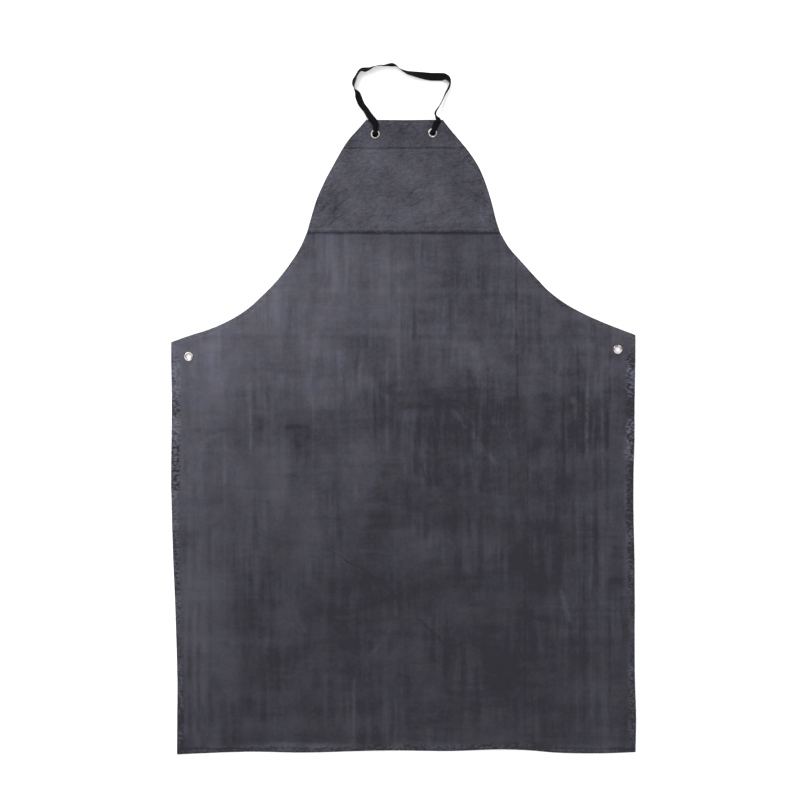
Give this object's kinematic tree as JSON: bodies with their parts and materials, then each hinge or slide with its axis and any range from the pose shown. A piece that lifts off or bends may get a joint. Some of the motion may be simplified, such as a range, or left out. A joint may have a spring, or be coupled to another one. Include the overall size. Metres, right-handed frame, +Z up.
{
  "type": "rubber work apron",
  "caption": "Heavy black rubber work apron with a bib, laid flat: hemmed sheet, bib facing, rolled eyelets and a woven neck tape.",
  "frame": {"origin": "on the surface that the apron lies on, under the middle of its outline", "axes": "+Y from the hem towards the neck loop, +X to the right as seen from the front, +Z up out of the front"},
  "size_m": [0.9014, 1.338, 0.0259],
  "materials": {
    "skirt_rubber": "matt grey-black sheet rubber with faint upright streaks, soft cross bands, pale bloom and thin crease marks",
    "bib_rubber": "matt grey-black sheet rubber, slightly paler than the skirt, with a fine mottled wrinkle all over",
    "eyelet_metal": "bright rolled nickel plate, a little warm in tone",
    "woven_tape": "black woven tape with a fine plain weave and firm edges"
  },
  "bodies": {
    "root": {"apron_sheet": "skirt_rubber", "bib_facing": "bib_rubber", "neck_eyelet_left": "eyelet_metal", "neck_eyelet_right": "eyelet_metal", "waist_eyelet_left": "eyelet_metal", "waist_eyelet_right": "eyelet_metal", "neck_tape": "woven_tape"}
  },
  "joints": []
}
